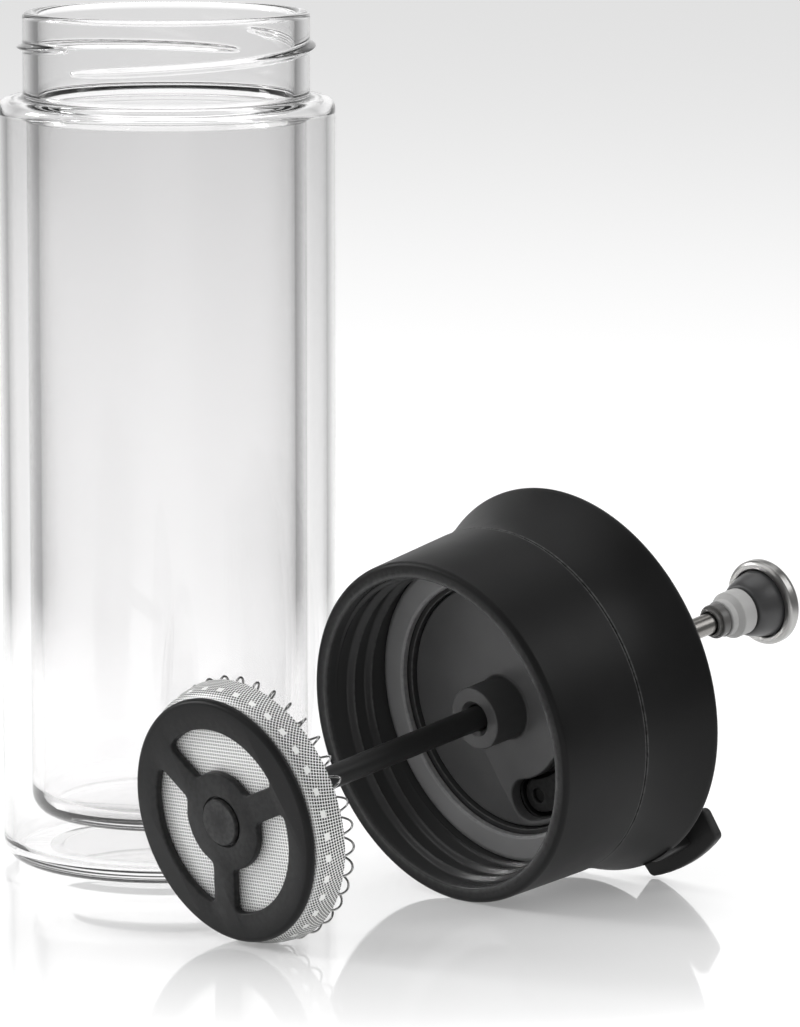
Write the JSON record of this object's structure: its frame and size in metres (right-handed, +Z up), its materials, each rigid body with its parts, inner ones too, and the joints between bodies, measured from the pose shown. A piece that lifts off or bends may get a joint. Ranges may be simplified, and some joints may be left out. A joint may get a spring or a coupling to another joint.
{
  "type": "french press travel mug",
  "caption": "Double-wall glass tumbler with a threaded neck; its flared black lid, with a flip cap and a press plunger and coil-edged filter, lies beside it.",
  "frame": {"origin": "centre of the tumbler's foot, on the table", "axes": "+Z up along the tumbler's axis, -Y towards the picture's camera, +X to the picture's right, where the lid lies"},
  "size_m": [0.1795, 0.1566, 0.1902],
  "materials": {
    "clear_glass": "clear, fire-polished",
    "soft_black_plastic": "fine-grained soft-touch black",
    "moulded_black_plastic": "satin moulded black",
    "black_rubber": "matt black",
    "grey_silicone": "satin light grey silicone",
    "stainless_steel": "polished and brushed",
    "woven_steel_mesh": "fine woven mesh",
    "frosted_plastic": "frosted translucent grey"
  },
  "bodies": {
    "tumbler": {"outer_glass_wall": "clear_glass", "inner_glass_liner": "clear_glass"},
    "lid": {"lid_collar": "soft_black_plastic", "lid_flared_shell": "soft_black_plastic", "lid_deck": "soft_black_plastic", "lid_ceiling": "moulded_black_plastic", "mouth_gasket": "grey_silicone", "rod_seal": "grey_silicone", "hinge_pin": "stainless_steel"},
    "flap": {"flip_cap": "soft_black_plastic", "flip_plug": "black_rubber"},
    "plunger": {"press_plate": "moulded_black_plastic", "hub_button": "moulded_black_plastic", "mesh_screen": "woven_steel_mesh", "filter_spring": "stainless_steel", "filter_back_plate": "stainless_steel", "filter_nut": "stainless_steel", "steel_rod": "stainless_steel", "rod_sleeve": "soft_black_plastic", "rod_ferrule": "moulded_black_plastic", "knob_neck_sleeve": "frosted_plastic", "knob_insert": "moulded_black_plastic", "knob_cap": "stainless_steel"}
  },
  "joints": [
    {"name": "lid_lift", "type": "slide", "parent": "tumbler", "child": "lid", "axis": [0, 0, 1], "range_m": [0, 0.2]},
    {"name": "plunger_slide", "type": "slide", "parent": "lid", "child": "plunger", "axis": [0.7095, 0.6852, 0.1647], "range_m": [-0.0575, 0.068]},
    {"name": "flap_hinge", "type": "hinge", "parent": "lid", "child": "flap", "pos_m": [0.08596, -0.03756, 0.03459], "axis": [0.5463, -0.6824, 0.4857], "range_deg": [0, 55]}
  ]
}
